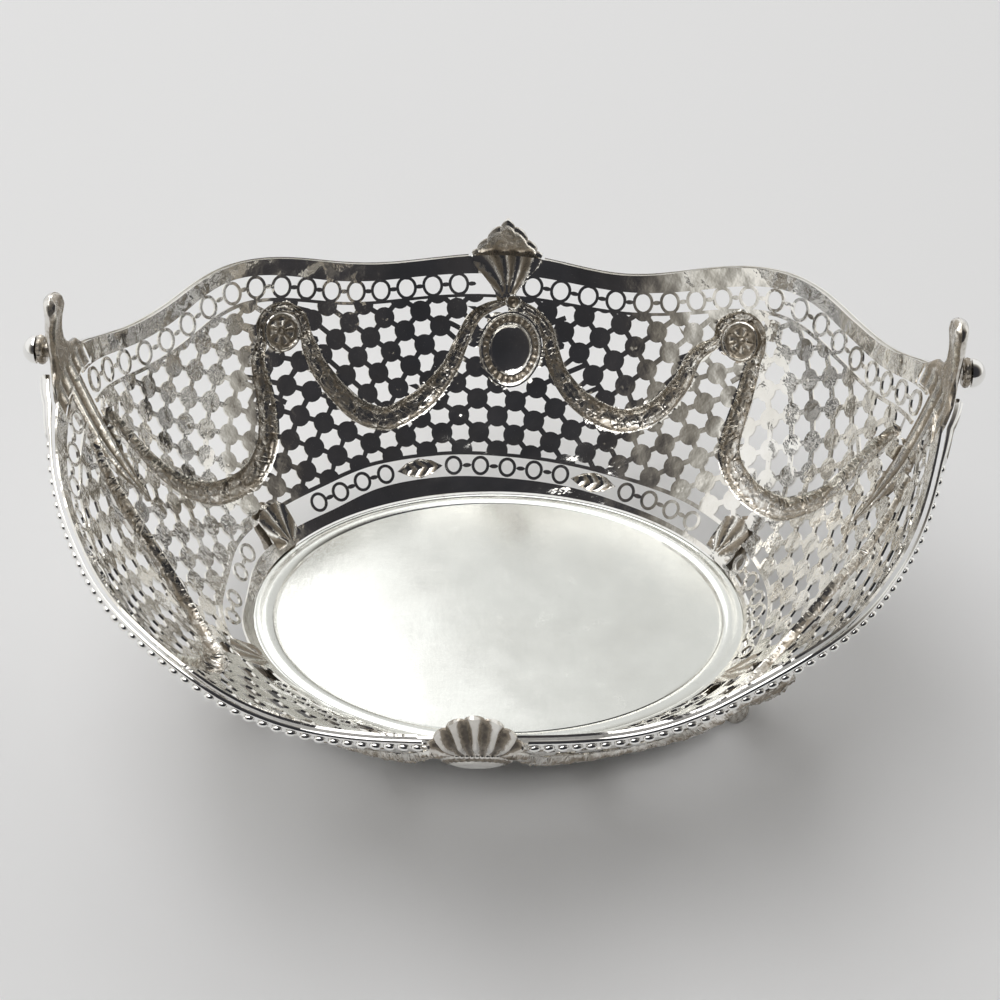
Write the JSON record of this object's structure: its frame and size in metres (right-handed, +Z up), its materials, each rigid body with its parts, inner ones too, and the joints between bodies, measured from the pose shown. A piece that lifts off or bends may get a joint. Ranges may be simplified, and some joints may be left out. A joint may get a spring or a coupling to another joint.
{
  "type": "pierced dish",
  "caption": "Oval footed silver basket with a pierced, chased wall, a wavy beaded rim, upright ears with buttons at the ends and shell crests on the long sides.",
  "frame": {"origin": "centre of the base plate's upper face", "axes": "+X from ear to ear towards the right ear, +Y towards the back long side, +Z up"},
  "size_m": [0.3284, 0.2726, 0.1579],
  "materials": {
    "silver_bright": "hand-polished silver, mirror bright with fine scratches",
    "silver_satin": "worn satin silver with fine scratches and specks",
    "silver_pierced": "bright chased silver with brown tarnish left in the recesses",
    "silver_cast": "cast and chased silver, darkened in the hollows"
  },
  "bodies": {
    "root": {"base_plate": "silver_satin", "base_ring": "silver_bright", "wall_back": "silver_pierced", "wall_front": "silver_pierced", "ear_right": "silver_cast", "ear_left": "silver_cast", "button_plate_right": "silver_cast", "button_plate_left": "silver_cast", "button_dome_right": "silver_bright", "button_dome_left": "silver_bright", "crest_back": "silver_cast", "crest_front": "silver_cast", "border_back_right": "silver_bright", "border_back_left": "silver_bright", "border_front_left": "silver_bright", "border_front_right": "silver_bright", "foot_back_right": "silver_cast", "foot_back_left": "silver_cast", "foot_front_left": "silver_cast", "foot_front_right": "silver_cast"}
  },
  "joints": []
}
